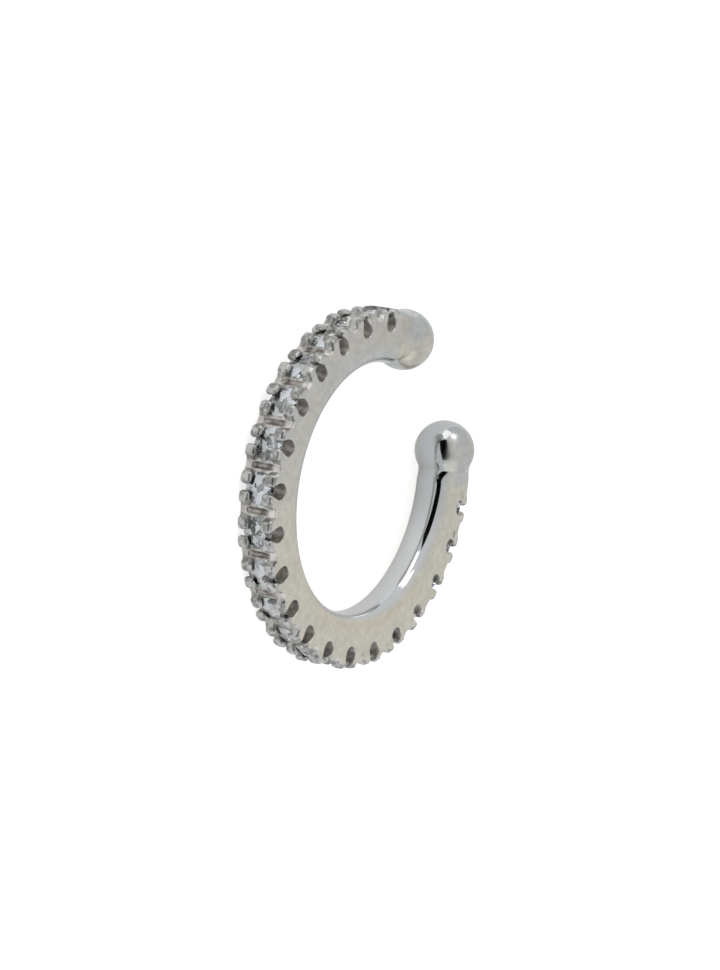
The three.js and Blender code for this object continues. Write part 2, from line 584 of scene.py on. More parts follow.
    def spin_face(self, angle: float, turn: float) -> float:
        """Spins the selected section further around the ring.

        Args:
            angle: Where it stands.
            turn: How far it goes.

        Returns:
            Where it stands afterwards.
        """
        steps = max(1, round(math.degrees(turn) / self.ring_step))
        bpy.ops.mesh.spin(steps=steps, angle=turn, center=(0, 0, 0), axis=(0, 0, -1))
        return angle + turn

    def post_point(self, radius: float, height: float) -> tuple[float, float]:
        """Where a point of the full-height section goes in the posts' section.

        Args:
            radius: Its distance from the ring's axis.
            height: Its place along the ring's axis.

        Returns:
            Its new distance and place.
        """
        s = self.sizes
        corner = s.tip - self.end_rounding
        new_corner = s.post - self.post_rounding
        edge = s.half_width - self.end_rounding
        new_edge = s.half_width - self.post_rounding
        share = self.post_rounding / self.end_rounding
        sign = math.copysign(1.0, height)
        if radius < s.flat_start + NEAR / 100:
            return radius, height
        if radius < corner - NEAR / 10:
            return s.flat_start + (radius - s.flat_start) * (
                (new_corner - s.flat_start) / (corner - s.flat_start)), height
        if abs(height) < edge - NEAR / 10:
            return radius - s.tip + s.post, height * new_edge / edge
        return (new_corner + (radius - corner) * share,
                sign * (new_edge + (abs(height) - edge) * share))

    def reshape_face(self, angle: float, old: list[tuple[float, float]],
                     new: list[tuple[float, float]]) -> None:
        """Gives the selected section another shape, point by point.

        Args:
            angle: Where it stands.
            old: The section's points as they are: distance from the axis and place along it.
            new: The same points as they must be.
        """
        outwards = Vector((math.cos(angle), math.sin(angle), 0))
        bpy.ops.object.mode_set(mode="OBJECT")
        for vertex in bpy.context.object.data.vertices:
            if not vertex.select:
                continue
            here = (vertex.co.dot(outwards), vertex.co.z)
            nearest = min(range(len(old)), key=lambda i: math.dist(old[i], here))
            radius, height = new[nearest]
            vertex.co = outwards * radius + Vector((0, 0, height))
        bpy.ops.object.mode_set(mode="EDIT")

    def add_ball(self, band: Piece, side: Side) -> None:
        """Adds a ball end and bridges a smooth neck from its rim to the band.

        Args:
            band: The band to add it to.
            side: Which end.
        """
        s = self.sizes
        Bench.clear()
        bpy.ops.mesh.primitive_uv_sphere_add(
            segments=self.loop, ring_count=self.loop // 2, radius=s.ball_radius,
            location=(s.ball_centre, 0, 0), rotation=(-math.pi / 2, 0, 0),
        )
        ball = Bench.added()
        Bench.edit(ball)
        Bench.cut_off((s.ball_centre, side.value * self.rim_offset, 0), (0, side.value, 0))
        Bench.place(ball, Bench.around(side.value * s.ball_angle))
        Bench.gather([band, ball], band.name)
        bpy.ops.object.mode_set(mode="EDIT")
        Bench.pick("EDGE", lambda p: p.y * side.value > 0, boundary=True)
        bpy.ops.mesh.bridge_edge_loops(
            number_cuts=self.neck_cuts, interpolation="SURFACE", smoothness=self.neck_swell
        )
        Bench.face_out()

    def side_cutter(self) -> Piece:
        """Models the tool of one U-shaped side cut, flared where it meets the flat sides.

        Returns:
            The tool, over the +X side of the ring.
        """
        s = self.sizes
        radius = s.cut_width / 2 + self.cut_rounding
        centre = s.cut_bottom - self.cut_rounding + radius
        top = s.half_width + self.cut_overshoot
        Bench.clear()
        bpy.ops.mesh.primitive_circle_add(
            vertices=self.round_sides, radius=radius, fill_type="NGON", location=(centre, 0, top)
        )
        tool = Bench.added()
        Bench.edit(tool)
        Bench.draw_out(centre, s.tip + s.prong_height, 1)
        bpy.ops.mesh.select_mode(type="FACE")
        bpy.ops.mesh.select_all(action="SELECT")
        bpy.ops.mesh.normals_make_consistent(inside=False)
        depth = inset = 0.0
        for i in range(1, self.cut_steps + 1):
            turn = math.pi / 2 * i / self.cut_steps
            next_inset = self.cut_rounding * math.sin(turn)
            next_depth = self.cut_rounding * (1 - math.cos(turn))
            bpy.ops.mesh.inset(thickness=next_inset - inset, depth=0, use_even_offset=True)
            bpy.ops.transform.translate(value=(0, 0, depth - next_depth))
            inset, depth = next_inset, next_depth
        Bench.extrude(Vector((0, 0, depth - top)))
        bpy.ops.mesh.delete(type="FACE")
        Bench.pick("EDGE", lambda p: p.z > s.half_width, boundary=True)
        bpy.ops.mesh.edge_face_add()
        bpy.ops.object.mode_set(mode="OBJECT")
        Bench.apply(tool, "MIRROR", use_axis=(False, False, True), merge_threshold=10 * NEAR)
        Bench.edit(tool)
        Bench.face_out()
        return tool

    @staticmethod
    def row_of(model: Piece, name: str, places: list[float] | list[Matrix]) -> Piece:
        """Copies one model tool to every place that it has on the row.

        Args:
            model: The tool, over the +X side of the ring.
            name: The name of the set.
            places: Its places, as angles or moves.

        Returns:
            All copies as one object; the model is removed.
        """
        moves = [place if isinstance(place, Matrix) else Bench.around(place) for place in places]
        copies = [Bench.copy(model, f"{name}_{i}", move) for i, move in enumerate(moves)]
        bpy.data.objects.remove(model)
        return Bench.gather(copies, name)

    def seat_cutter(self) -> Piece:
        """Models the tool of one seat: a stone's round envelope and a clearance.

        Returns:
            The tool, over the +X side of the ring and opening outwards.
        """
        s = self.sizes
        room = s.stone_diameter / 2 + self.seat_clearance
        pavilion = s.stone_diameter * s.pavilion_share
        crown = s.stone_diameter * s.crown_share
        table = s.stone_diameter / 2 * s.table_share
        Bench.clear()
        bpy.ops.mesh.primitive_cone_add(
            vertices=self.round_sides, radius1=0, radius2=room, depth=pavilion,
            location=(s.culet + pavilion / 2, 0, 0), rotation=(0, math.pi / 2, 0),
        )
        tool = Bench.added()
        bpy.ops.object.mode_set(mode="EDIT")
        rim = s.culet + pavilion
        Bench.pick("FACE", lambda p: p.x > rim - NEAR)
        Bench.extrude(Vector((s.stone_diameter * s.girdle_share, 0, 0)))
        Bench.extrude(Vector((crown, 0, 0)))
        share = (table + self.seat_clearance) / room
        bpy.ops.transform.resize(value=(1, share, share), center_override=(rim + crown, 0, 0))
        Bench.face_out()
        return tool

    def end_bore(self) -> Piece:
        """The tool that opens a full-height end of the band over its end stone."""
        s = self.sizes
        depth = 2 * s.prong_height
        low = s.culet + s.stone_diameter * (s.pavilion_share + s.girdle_share)
        Bench.clear()
        bpy.ops.mesh.primitive_cylinder_add(
            vertices=self.round_sides, radius=s.stone_diameter / 2 - self.bore_inset, depth=depth,
            location=(low + depth / 2, 0, 0), rotation=(0, math.pi / 2, 0),
        )
        return Bench.added()

    def groove(self) -> Piece:
        """The tool of the groove that parts the prongs of a post."""
        middle = self.sizes.post - self.groove_depth + self.groove_radius
        Bench.clear()
        bpy.ops.mesh.primitive_cylinder_add(
            vertices=self.round_sides // 2, radius=self.groove_radius, depth=self.groove_length,
            location=(middle, 0, 0),
        )
        return Bench.added()

    def prong(self) -> Piece:
        """Models one rounded prong that rises from the side wall, its tip at the origin's height.

        Returns:
            The prong, pointing along +X, leaning towards -Y and -Z.
        """
        height = self.sizes.prong_height + self.tooth_foot
        extra = self.tooth_spare
        Bench.clear()
        bpy.ops.mesh.primitive_cube_add(size=1, location=(-height / 2, 0, extra / 2))
        piece = bpy.context.object
        piece.scale = (height, self.tooth_length, self.tooth_width + extra)
        Bench.settle(piece)
        Bench.edit(piece)
        bpy.ops.mesh.select_mode(type="EDGE")
        bpy.ops.mesh.select_all(action="SELECT")
        bpy.ops.mesh.bevel(offset=self.tooth_rounding, segments=5, profile=0.5, affect="EDGES")
        Bench.pick("VERT", lambda p: p.x > -self.tooth_rounding - NEAR)
        bpy.ops.transform.translate(value=(0, -self.tooth_fold, -self.tooth_lean))
        bpy.ops.mesh.select_all(action="SELECT")
        Bench.cut_off((0, 0, self.tooth_width / 2), (0, 0, 1), fill=True)
        bpy.ops.object.mode_set(mode="OBJECT")
        return piece

    def prongs(self) -> Piece:
        """All prongs: four at each stone.

        Returns:
            The prongs as one object of separate closed shapes.
        """
        s = self.sizes
        spread = random.Random(7)
        model = self.prong()
        along = s.pitch / 2 - (self.tooth_notch + self.tooth_length) / 2 / s.tip
        side = s.half_width - self.tooth_width / 2 - self.tooth_inset
        places = []
        for angle, end, face in itertools.product(s.stone_angles, (-1, 1), (-1, 1)):
            angles = [spread.uniform(-self.tooth_turn, self.tooth_turn) for _ in range(3)]
            turn = Euler(angles).to_matrix().to_4x4()
            rise = spread.uniform(-self.tooth_drop, self.tooth_lift)
            places.append(
                Bench.around(angle + end * along, s.tip + rise)
                @ Matrix.Translation((0, 0, face * side)) @ Matrix.Diagonal((1, end, face, 1)) @ turn
            )
        whole = self.row_of(model, "prongs", places)
        Bench.edit(whole)
        Bench.face_out()
        return whole

    def finish_surface(self, band: Piece) -> None:
        """Shades the metal smooth, with crisp edges and even flat sides."""
        Bench.edit(band)
        bpy.ops.mesh.remove_doubles(threshold=NEAR)
        bpy.ops.object.mode_set(mode="OBJECT")
        bpy.ops.object.shade_smooth_by_angle(angle=math.radians(35))
        Bench.apply(band, "WEIGHTED_NORMAL", keep_sharp=True, weight=60)


@dataclass
class StoneRow:
    """The row of round brilliants.

    Attributes:
        sizes: The cuff's driving sizes.
        table_sides: Sides of a stone's flat top.
        star_share: How far the star facets reach from the flat top's edge to the rim.
        star_drop: How steep the star facets are, against the main facets.
        upper_drop: How steep the upper facets are, against the crown's height.
        lower_drop: How steep the lower facets are, against the pavilion.
    """

    sizes: CuffSizes = SIZES
    table_sides: int = 8
    star_share: float = 0.5
    star_drop: float = 0.9
    upper_drop: float = 0.6975
    lower_drop: float = 0.96

    def build(self) -> list[Piece]:
        """Cuts one brilliant and sets a copy in each seat.

        Returns:
            The stones in order around the ring.
        """
        model = self.brilliant()
        spread = random.Random(11)
        stones = []
        for index, angle in enumerate(self.sizes.stone_angles):
            turn = Matrix.Rotation(spread.uniform(0, math.pi / 4), 4, "X")
            tilt = Euler((0, spread.uniform(-0.02, 0.02), spread.uniform(-0.02, 0.02)))
            place = Bench.around(angle, self.sizes.girdle) @ tilt.to_matrix().to_4x4() @ turn
            stones.append(Bench.copy(model, f"stone_{index + 1:02d}", place))
        bpy.data.objects.remove(model)
        return stones

    def brilliant(self) -> Piece:
        """Cuts a round brilliant from a cylinder, facet by facet, with its flat top towards +X.

        Returns:
            The stone, with the middle of its edge at the origin.
        """
        s = self.sizes
        radius = s.stone_diameter / 2
        girdle = s.stone_diameter * s.girdle_share / 2
        crown = s.stone_diameter * s.crown_share
        pavilion = s.stone_diameter * s.pavilion_share
        half = math.pi / self.table_sides
        sides = 2 * self.table_sides
        Bench.clear()
        bpy.ops.mesh.primitive_cylinder_add(
            vertices=2 * sides, radius=radius, depth=2 * (pavilion + girdle),
        )
        stone = bpy.context.object
        bpy.ops.object.mode_set(mode="EDIT")
        edge = radius * math.cos(half / 2)
        table = radius * s.table_share * math.cos(half)
        slope = crown / (radius - table)
        self.facet((0, 0, girdle + crown), Vector((0, 0, 1)))
        kite = table + self.star_share * (radius - table)
        for i in range(self.table_sides):
            turn = 2 * half * i
            self.facet(self.polar(radius, turn, girdle), Vector(self.polar(slope, turn, 1)))
            low = Vector(self.polar(1, turn, -radius / pavilion))
            self.facet(self.polar(radius, turn, -girdle), low)
        for i in range(self.table_sides):
            turn = 2 * half * (i + 0.5)
            tilt = slope * (kite - table) * self.star_drop / (kite * math.cos(half) - table)
            star = Vector(self.polar(tilt, turn, 1))
            self.facet(self.polar(table, turn, girdle + crown), star)
        span = 2 * radius - edge - kite
        tilt = crown * (1 - s.table_share) * self.upper_drop / span
        for i in range(sides):
            turn = half * (i + 0.5)
            self.facet(self.polar(edge, turn, girdle), Vector(self.polar(tilt, turn, 1)))
            lower = Vector(self.polar(1, turn, -radius / pavilion * self.lower_drop))
            self.facet(self.polar(edge, turn, -girdle), lower)
        bpy.ops.mesh.select_all(action="SELECT")
        bpy.ops.mesh.remove_doubles(threshold=10 * NEAR)
        bpy.ops.mesh.dissolve_limited(angle_limit=math.radians(0.3))
        Bench.face_out()
        Bench.place(stone, Matrix.Rotation(math.pi / 2, 4, "Y"))
        bpy.ops.object.shade_flat()
        return stone

    @staticmethod
    def polar(radius: float, turn: float, height: float) -> Triple:
        """A point of the stone by its radius, angle and height."""
        return (radius * math.cos(turn), radius * math.sin(turn), height)

    @staticmethod
    def facet(point: Triple, normal: Vector) -> None:
        """Cuts one flat facet off the stone being cut.

        Args:
            point: A point of the facet.
            normal: The facet's outward normal.
        """
        bpy.ops.mesh.select_all(action="SELECT")
        bpy.ops.mesh.bisect(
            plane_co=point, plane_no=normal.normalized(), clear_outer=True, use_fill=True,
            threshold=1e-6,
        )


class Sock:
    """A node's output, with the sums of shader maths written as Python expressions."""

    def __init__(self, painter: Painter, link: bpy.types.NodeSocket) -> None:
        """Wraps an output socket.

        Args:
            painter: The painter whose nodes it belongs to.
            link: The output socket.
        """
        self.painter = painter
        self.link = link

    def maths(self, operation: str, *others: Sock | float, first: float | None = None) -> Sock:
        """Adds a Math node on this value.

        Args:
            operation: The node's operation.
            *others: Its further values.
            first: A number that comes before this value.

        Returns:
            The node's result.
        """
        values = [self, *others] if first is None else [first, self]
        settings = {"operation": operation}
        return self.painter.node("ShaderNodeMath", settings, dict(enumerate(values)))

    def __add__(self, other: Sock | float) -> Sock:
        """The sum."""
        return self.maths("ADD", other)

    __radd__ = __add__

    def __mul__(self, other: Sock | float) -> Sock:
        """The product."""
        return self.maths("MULTIPLY", other)

    __rmul__ = __mul__

    def __sub__(self, other: Sock | float) -> Sock:
        """The difference."""
        return self.maths("SUBTRACT", other)

    def __rsub__(self, other: float) -> Sock:
        """A number less this value."""
        return self.maths("SUBTRACT", first=other)

    def __pow__(self, other: float) -> Sock:
        """The power."""
        return self.maths("POWER", other)

    def __abs__(self) -> Sock:
        """The value without its sign."""
        return self.maths("ABSOLUTE")

    def step(self, start: float, end: float) -> Sock:
        """A soft step from 0 at one value to 1 at another.

        Args:
            start: The value that gives 0.
            end: The value that gives 1.

        Returns:
            The stepped value.
        """
        settings = {"interpolation_type": "SMOOTHSTEP"}
        return self.painter.node(
            "ShaderNodeMapRange", settings, {"Value": self, "From Min": start, "From Max": end}
        )


class Painter:
    """Makes one material's nodes."""

    def __init__(self, name: str) -> None:
        """Starts a material with a principled shader.

        Args:
            name: The material's name.
        """
        self.material = bpy.data.materials.new(name)
        self.material.use_nodes = True
        self.tree = self.material.node_tree
        self.shader = self.tree.nodes["Principled BSDF"]

    def node(self, kind: str, settings: dict | None = None, values: dict | None = None,
             output: str | int = 0) -> Sock:
        """Adds a node.

        Args:
            kind: The node's type.
            settings: Its own settings, set first.
            values: The values or links of its sockets, by name or number.
            output: The output that is wanted.

        Returns:
            That output.
        """
        made = self.tree.nodes.new(kind)
        for key, value in (settings or {}).items():
            setattr(made, key, value)
        for key, value in (values or {}).items():
            self.feed(made.inputs[key], value)
        return Sock(self, made.outputs[output])

    def feed(self, socket: bpy.types.NodeSocket, value: object) -> None:
        """Links or sets one input socket."""
        if isinstance(value, Sock):
            self.tree.links.new(value.link, socket)
        elif socket.type == "RGBA" and len(value) == 3:
            socket.default_value = (*value, 1)
        else:
            socket.default_value = value

    def set(self, **sockets: object) -> None:
        """Sets or links the shader's sockets, named with underscores for spaces."""
        for key, value in sockets.items():
            self.feed(self.shader.inputs[key.replace("_", " ")], value)

    def ring_place(self, sizes: CuffSizes) -> Sock:
        """Object coordinates in millimetres around the ring's own axis.

        Args:
            sizes: The cuff's sizes, which say how it leans.

        Returns:
            The place as a vector.
        """
        back = sizes.resting_place.inverted()
        place = self.node("ShaderNodeTexCoord", output="Object")
        return self.node("ShaderNodeMapping", {"vector_type": "POINT"}, {
            "Vector": place,
            "Location": tuple(back.to_translation()),
            "Rotation": tuple(back.to_euler()),
            "Scale": (1 / MM,) * 3,
        })

    def axis(self, place: Sock, number: int) -> Sock:
        """One coordinate of a place."""
        return self.node("ShaderNodeSeparateXYZ", {}, {0: place}, number)

    def noise(self, place: Sock, scale: float, detail: float = 2.0) -> Sock:
        """Soft noise between 0 and 1.

        Args:
            place: Where it is read.
            scale: Its grains per unit.
            detail: Its finer layers.

        Returns:
            The noise.
        """
        return self.node("ShaderNodeTexNoise", {}, {"Vector": place, "Scale": scale, "Detail": detail})

    def cells(self, place: Sock, scale: float) -> Sock:
        """A steady value between 0 and 1 for each cell of a broken pattern."""
        colour = self.node("ShaderNodeTexVoronoi", {}, {"Vector": place, "Scale": scale}, "Color")
        return self.node("ShaderNodeSeparateColor", {}, {0: colour}, 0)

    def mix(self, share: Sock | float, low: object, high: object) -> Sock:
        """Mixes two colours."""
        return self.node("ShaderNodeMix", {"data_type": "RGBA"}, {0: share, 6: low, 7: high}, 2)

    def either(self, one: Sock, other: Sock) -> Sock:
        """The larger of two values."""
        return one.maths("MAXIMUM", other)

    def tone(self, colour: Sock, value: Sock) -> Sock:
        """A colour made darker or paler by a value near 1."""
        return self.node("ShaderNodeMix", {"data_type": "RGBA", "blend_type": "MULTIPLY"},
                         {0: 1.0, 6: colour, 7: value}, 2)

    def bump(self, height: Sock, distance: float) -> Sock:
        """A normal from a height and the distance in millimetres that it stands for."""
        values = {"Height": height, "Distance": distance * MM, "Strength": 1.0}
        return self.node("ShaderNodeBump", {}, values, "Normal")


@dataclass(frozen=True)
class SilverAreas:
    """Where the silver's finishes lie, each as a value between 0 and 1.

    Attributes:
        recess: The inside of the cuts, seats and notches.
        notch: The notches between prongs, where painted shade goes, strongest in the middle of the row.
        satin: The flat sides and the satin part of the ball ends.
        pave: The prongs and posts.
        ends: Both ball ends.
        upper: The half of the ring with the upper ball.
        crest: The inner part of the ball ends' sides.
    """

    recess: Sock
    notch: Sock
    satin: Sock
    pave: Sock
    ends: Sock
    upper: Sock
    crest: Sock

    @staticmethod
    def find(p: Painter, place: Sock, sizes: CuffSizes) -> SilverAreas:
        """Finds the areas by their distance from the ring's axis, angle and height.

        Args:
            p: The painter of the material.
            place: The place in the ring's own millimetres.
            sizes: The cuff's sizes.

        Returns:
            The areas.
        """
        x, y, z = (p.axis(place, i) for i in range(3))
        radius = (x * x + y * y) ** 0.5
        wide = abs(z)
        cut, post, side = sizes.cut_bottom, sizes.post, sizes.half_width
        stones = (abs(y.maths("ARCTAN2", x)) - sizes.first_stone) * (1 / sizes.pitch)
        outside = radius.step(cut - 0.1, cut + 0.02)
        below_tips = 1 - radius.step(post - 0.12, post + 0.05)
        inner = 1 - wide.step(side - 0.03, side - 0.008)
        pave = outside * inner * stones.step(-0.42, -0.34)
        between = stones.maths("PINGPONG", 0.5).step(0.40, 0.43) * stones.step(0.0, 0.1)
        notch = between * radius.step(post - 0.12, post - 0.08)
        notch = notch * (1 - radius.step(post + 0.03, post + 0.1))
        upper = y.step(-0.5, 0.5)
        ends = (x * 0.9 - abs(y)).step(-0.3, 0.2) * (radius + upper * 0.9).step(5.05, 5.4)
        flat = p.either(wide.step(side - 0.04, side - 0.02), wide.step(0.5, 0.74) * (1 - outside))
        return SilverAreas(
            recess=p.either(pave * below_tips, notch), notch=notch * (1 - wide.step(0.3, 0.5)),
            satin=p.either(flat, ends * (wide + upper * 0.22).step(0.47, 0.72)),
            pave=pave, ends=ends, upper=upper, crest=1 - radius.step(5.3, 6.1),
        )


@dataclass(frozen=True)
class SilverFinish:
    """Polished silver with satin flat sides and rough cuts; the cuts' colour is painted paler as
    painted light, and painted shade lies in the notches, on one half of the ring and on the ball ends.

    Attributes:
        bright: Colour of the polished metal.
        lower_arm_shade: Painted shade: colour of the polished metal towards the lower arm, darker than
            bright.
        prong: Colour of the prongs, where they are clean.
        cool: Colour of the satin sides where they are cool.
        warm: Colour of the satin sides where they are warm.
        recess: Colour inside the cuts and seats, paler than the polished metal: painted light that
            stands in for light that does not reach into them.
        streaks: Its darkest and palest share.
        notch_shade: Painted shade: the dark colour of the notches between prongs.
        polish: Roughness of the polished metal.
        satin: Roughness of the flat sides.
        worn: Roughness of the prongs.
        cast: Roughness inside the cuts.
        relief: Height of the fine bumps in millimetres.
    """

    bright: Triple = (0.78, 0.78, 0.77)
    # Painted shade: the polished metal's darker colour on one half of the ring.
    lower_arm_shade: Triple = (0.6, 0.61, 0.6)
    prong: Triple = (0.76, 0.75, 0.71)
    cool: Triple = (0.66, 0.66, 0.64)
    warm: Triple = (0.77, 0.73, 0.62)
    # Painted light: the cuts' colour is paler than the polished metal.
    recess: Triple = (0.9, 0.855, 0.8)
    streaks: tuple[float, float] = (0.78, 1.1)
    # Painted shade for the notches between prongs.
    notch_shade: Triple = (0.22, 0.2, 0.18)
    polish: float = 0.07
    satin: float = 0.3
    worn: float = 0.34
    cast: float = 0.45
    relief: float = 0.004

    def material(self, sizes: CuffSizes) -> bpy.types.Material:
        """Makes the material.

        Args:
            sizes: The cuff's sizes, which say where each finish goes.

        Returns:
            The material.
        """
        p = Painter("polished_silver")
        place = p.ring_place(sizes)
        area = SilverAreas.find(p, place, sizes)
        smears = p.noise(place, 1.4, 3.0)
        dark = self.dark(p, place, area)
        clean = self.clean(p, place, area, smears)
        sheen = area.satin * (self.satin - self.polish) + self.polish + smears * 0.05
        sheen = p.either(sheen - area.ends * area.satin * 0.08, area.pave * self.worn)
        rough = sheen * (1 - area.recess) + area.recess * self.cast
        grain = p.noise(place, 14.0, 4.0) * (area.satin * (1 - area.ends) * 0.5 + area.recess)
        p.set(
            Base_Color=p.mix(area.recess, clean, dark), Metallic=1.0, Roughness=rough,
            Normal=p.bump(grain + smears * 0.35, self.relief),
        )
        return p.material

    def dark(self, p: Painter, place: Sock, area: SilverAreas) -> Sock:
        """The colour inside the cuts, painted pale as painted light, with streaks and with painted
        shade in the notches.

        Args:
            p: The painter of the material.
            place: The place in the ring's own millimetres.
            area: Where each finish lies.

        Returns:
            The colour.
        """
        # Painted light: the cuts are painted paler than the polished metal, standing in for light that
        # does not reach into them.
        shades = [tuple(c * share for c in self.recess) for share in self.streaks]
        streaked = p.mix(p.noise(place, 5.0, 4.0).step(0.35, 0.65), *shades)
        patch = p.noise(place, 3.0, 3.0).step(0.4, 0.6) * 0.5 + 0.5
        # Painted shade: a dark colour in the notches between prongs, strongest in the middle of the
        # row.
        return p.mix(area.notch * patch, streaked, self.notch_shade)

    def clean(self, p: Painter, place: Sock, area: SilverAreas, smears: Sock) -> Sock:
        """The colour of the polished inside, the prongs and the satin sides, with painted shade on one
        half of the ring and on the ball ends.

        Args:
            p: The painter of the material.
            place: The place in the ring's own millimetres.
            area: Where each finish lies.
            smears: Broad soft marks.

        Returns:
            The colour.
        """
        across = p.axis(place, 0) + p.axis(place, 1)
        warmth = across * -0.055 + p.noise(place, 0.3) * 0.5 + 0.25
        warmth = warmth + area.ends * area.upper * area.crest * 0.6 - area.ends * (1 - area.upper) * 0.3
        wear = (p.noise(place, 4.0, 4.0) * 0.6 + smears * 0.4).step(0.35, 0.65) * 0.16 + 0.9
        side = p.mix(warmth.step(0.1, 0.9), self.cool, self.warm)
        dirt = p.noise(place, 5.0, 3.0).step(0.36, 0.62) * 0.5 + 0.45
        # Painted shade: the polished metal is painted darker where x + y rises from -3.2 mm to zero and
        # beyond.
        polished = p.mix(across.step(-3.2, 0.0), self.bright, self.lower_arm_shade)
        tips = p.mix(area.pave, polished, p.tone(self.prong, dirt))
        # Painted shade: the satin on the ball ends is painted 6% darker.
        return p.mix(area.satin, tips, p.tone(side, wear - area.ends * 0.06))


@dataclass(frozen=True)
class StoneFinish:
    """Clear cut stone with a faint tint.

    Attributes:
        clear: Colour of the clearest stones.
        tinted: Colour of the most tinted stones.
        bending: Refractive index.
        polish: Roughness of the facets.
        sparkle: Share of light that the facets mirror outright.
    """

    clear: Triple = (0.94, 0.97, 1.0)
    tinted: Triple = (0.84, 0.84, 0.8)
    bending: float = 2.15
    polish: float = 0.015
    sparkle: float = 0.82

    def material(self, sizes: CuffSizes) -> bpy.types.Material:
        """Makes the material, in the ring's own millimetres."""
        p = Painter("clear_stone")
        place = p.ring_place(sizes)
        tint = p.noise(place, 0.7).step(0.35, 0.65)
        dust = p.noise(place, 9.0, 3.0)
        flash = p.cells(place, 4.5)
        p.set(
            Base_Color=p.mix(tint, self.clear, self.tinted), Roughness=dust * 0.02 + self.polish,
            IOR=self.bending, Transmission_Weight=1.0, Metallic=flash.step(0.2, 0.75) * self.sparkle,
        )
        return p.material


@dataclass(frozen=True)
class FloorFinish:
    """Matt white acrylic, lit evenly so that it looks white and casts almost no shadow.

    Attributes:
        colour: Its own colour.
        glow: Strength of its even light.
        spill: Strength of the part of that light which reaches the metal.
    """

    colour: Triple = (0.8, 0.8, 0.8)
    glow: float = 0.7
    spill: float = 0.2

    def material(self) -> bpy.types.Material:
        """Makes the material."""
        p = Painter("white_acrylic")
        place = p.node("ShaderNodeTexCoord", output="Object")
        fibres = p.noise(place, 900.0, 3.0)
        paler = tuple(min(1.0, c * 1.03) for c in self.colour)
        seen = p.node("ShaderNodeLightPath", output="Is Camera Ray")
        light = p.mix(seen, (self.spill,) * 3, (self.glow,) * 3)
        p.set(Base_Color=p.mix(fibres, self.colour, paler), Roughness=0.9,
              Specular_IOR_Level=0.0, Emission_Color=light, Emission_Strength=1.0)
        return p.material


@dataclass(frozen=True)
class CardFinish:
    """A card beside the cuff that only its reflection shows.

    Attributes:
        name: The material's name.
        low: Colour of its light at one end.
        high: Colour of its light at the other end.
        strength: Strength of its light.
    """

    name: str
    low: Triple
    high: Triple
    strength: float

    def material(self) -> bpy.types.Material:
        """Makes the material."""
        p = Painter(self.name)
        place = p.node("ShaderNodeTexCoord", output="Object")
        along = p.axis(place, 0)
        glow = p.mix(along.step(-0.06, 0.06), self.low, self.high)
        p.set(Base_Color=(0, 0, 0), Roughness=1.0, Specular_IOR_Level=0.0,
              Emission_Color=glow, Emission_Strength=self.strength)
        return p.material


